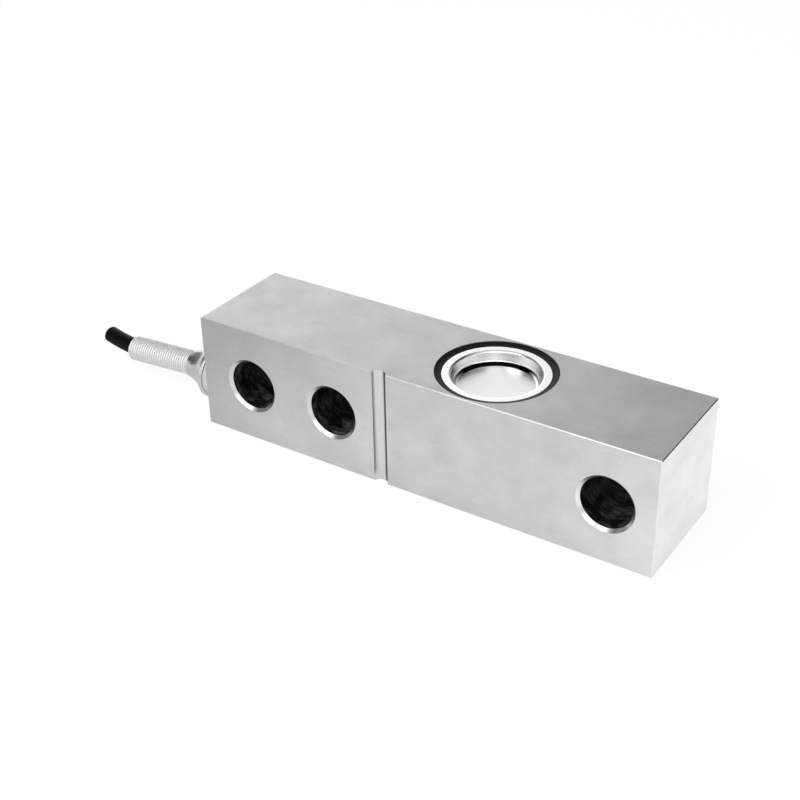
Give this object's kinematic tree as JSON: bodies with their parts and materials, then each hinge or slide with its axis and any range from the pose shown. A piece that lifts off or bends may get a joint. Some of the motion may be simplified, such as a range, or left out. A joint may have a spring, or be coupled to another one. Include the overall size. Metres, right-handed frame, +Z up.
{
  "type": "shear beam load cell",
  "caption": "Steel shear beam load cell: square bar with bolt and load holes, sealed gauge pockets, a relief groove, and a spring-relieved cable gland at one end.",
  "frame": {"origin": "centre of the beam's bottom face, as it lies on one gauge face", "axes": "+X along the beam from the cable end to the load end, -Y out of the bolting face with the relief groove, +Z up out of the upper gauge pocket"},
  "size_m": [0.1785, 0.0318, 0.0318],
  "materials": {
    "plated_steel": "ground and nickel plated, satin",
    "drawn_stainless": "deep drawn stainless sheet, bright",
    "sealant": "cured black silicone sealant",
    "turned_steel": "turned and polished",
    "spring_steel": "drawn stainless spring wire",
    "gasket_rubber": "moulded rubber",
    "jacket": "extruded black polyurethane",
    "shield_braid": "tinned copper braid",
    "core_red": "coloured core insulation",
    "core_green": "coloured core insulation",
    "core_white": "coloured core insulation",
    "core_black": "coloured core insulation",
    "board": "glass epoxy circuit board, solder mask",
    "solder": "tin solder",
    "chip": "chip resistor body",
    "gauge_film": "polyimide carrier film with foil",
    "enamelled_wire": "enamelled copper wire"
  },
  "bodies": {
    "root": {"beam_body": "plated_steel", "top_seal_cup": "drawn_stainless", "bottom_seal_cup": "drawn_stainless", "top_sealant_ring": "sealant", "bottom_sealant_ring": "sealant", "upper_strain_gauge": "gauge_film", "lower_strain_gauge": "gauge_film", "upper_gauge_leads": "enamelled_wire", "lower_gauge_leads": "enamelled_wire", "terminal_board": "board", "balance_resistors": "chip", "solder_joints": "solder", "gland_gasket": "gasket_rubber", "gland_body": "turned_steel", "gland_bush": "gasket_rubber", "gland_washer": "turned_steel", "gland_bell": "turned_steel", "strain_relief_spring": "spring_steel", "cable_jacket": "jacket", "cable_shield": "shield_braid", "core_red": "core_red", "core_green": "core_green", "core_white": "core_white", "core_black": "core_black"}
  },
  "joints": []
}
